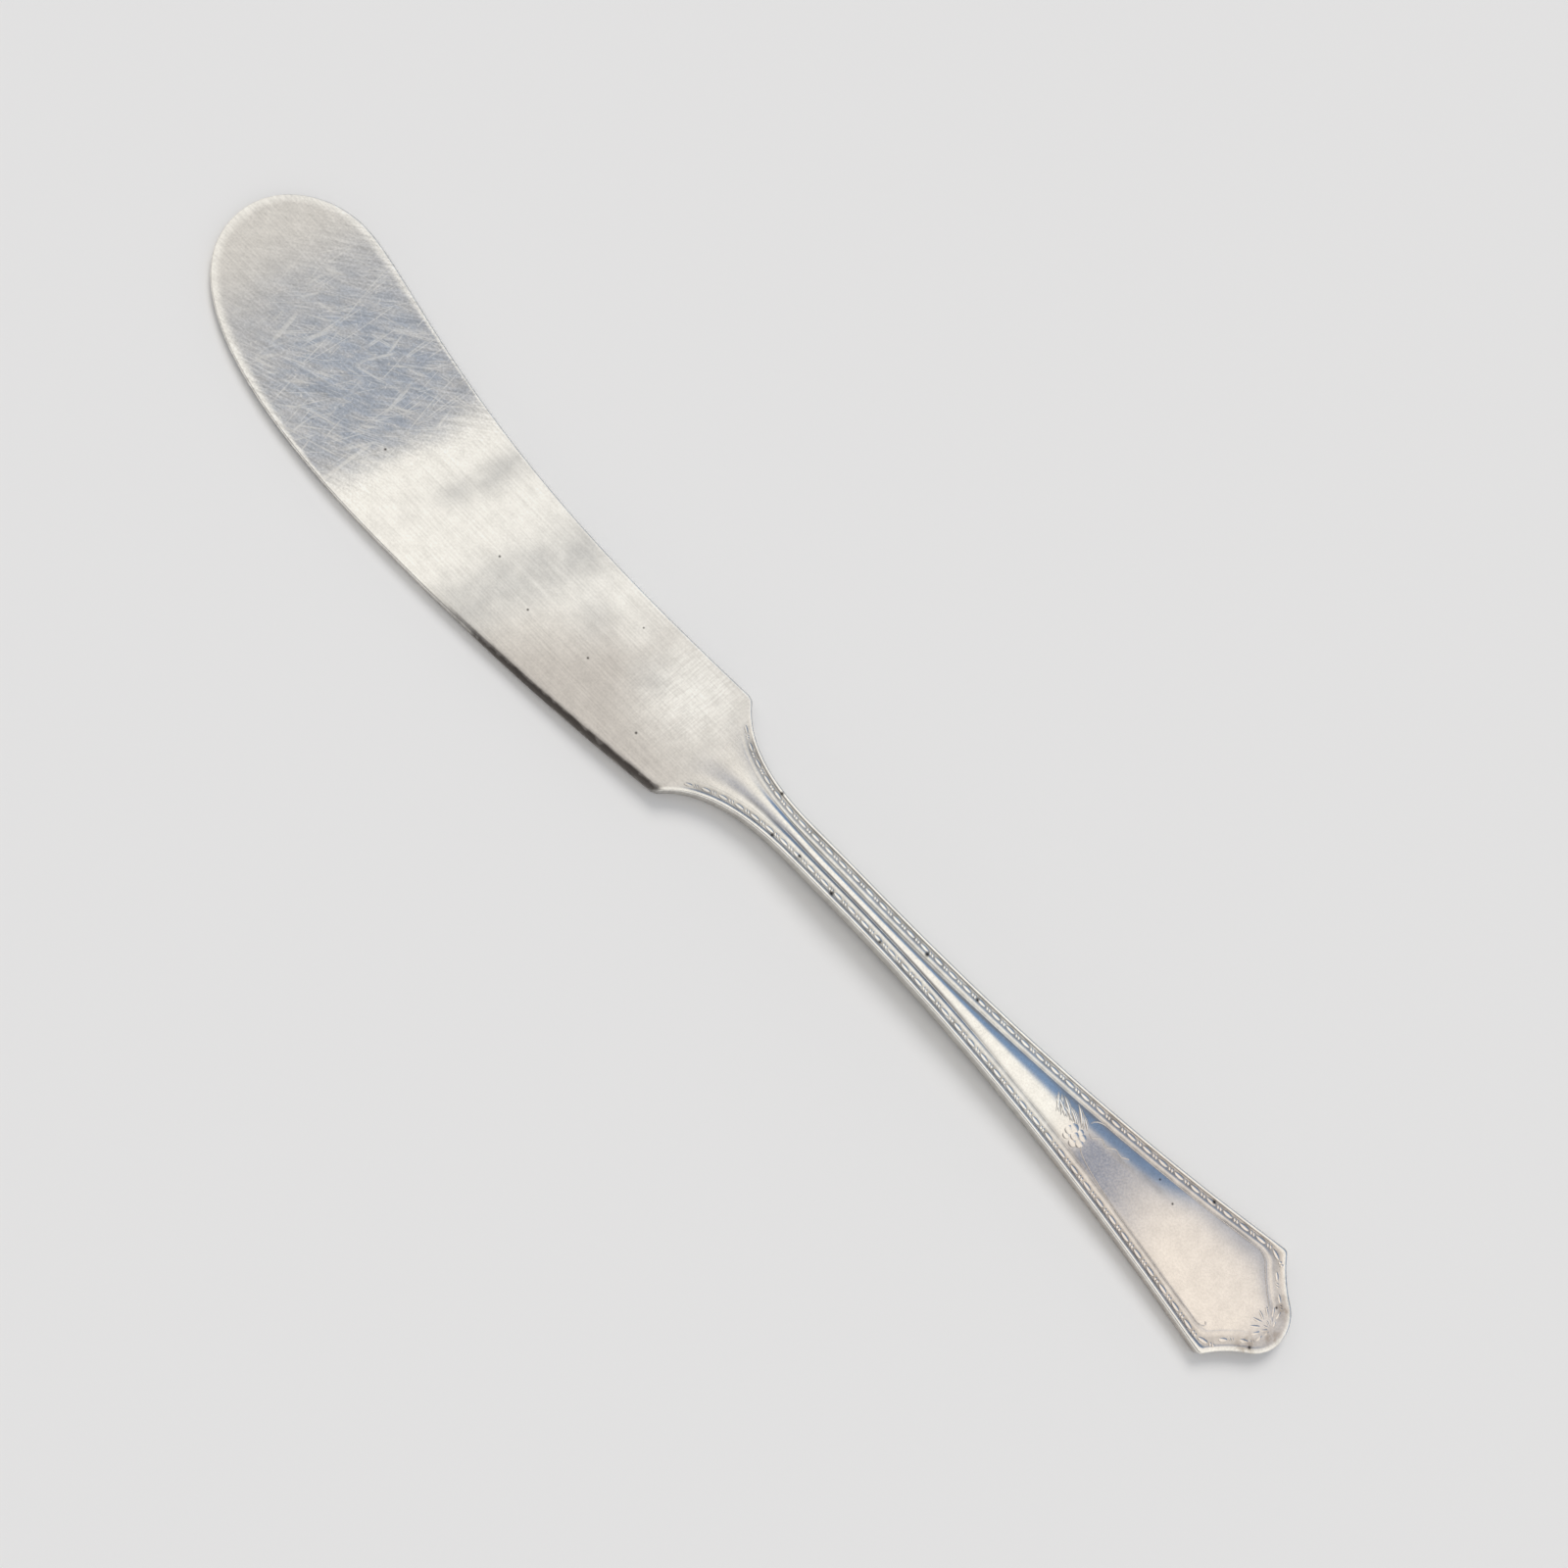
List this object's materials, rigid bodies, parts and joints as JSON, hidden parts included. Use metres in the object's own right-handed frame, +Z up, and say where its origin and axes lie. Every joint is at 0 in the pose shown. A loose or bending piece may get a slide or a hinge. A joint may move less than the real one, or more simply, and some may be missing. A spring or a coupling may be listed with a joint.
{
  "type": "butter spreader",
  "caption": "One-piece silver-plated butter spreader with a broad round-nosed blade that sweeps to one side and a flat handle with a beaded border, central rib and shield-shaped end",
  "frame": {"origin": "centre of the bounding box in X and Y, on the plane that the blade and the handle's end lie on", "axes": "+X from the handle's end to the blade's tip, +Y to the full side of the blade, +Z up, out of the patterned face"},
  "size_m": [0.15, 0.0212, 0.0031],
  "materials": {
    "silver_plate": "worn silver plate, satin, with fine brushing along the blade"
  },
  "bodies": {
    "root": {"butter_spreader": "silver_plate"}
  },
  "joints": []
}
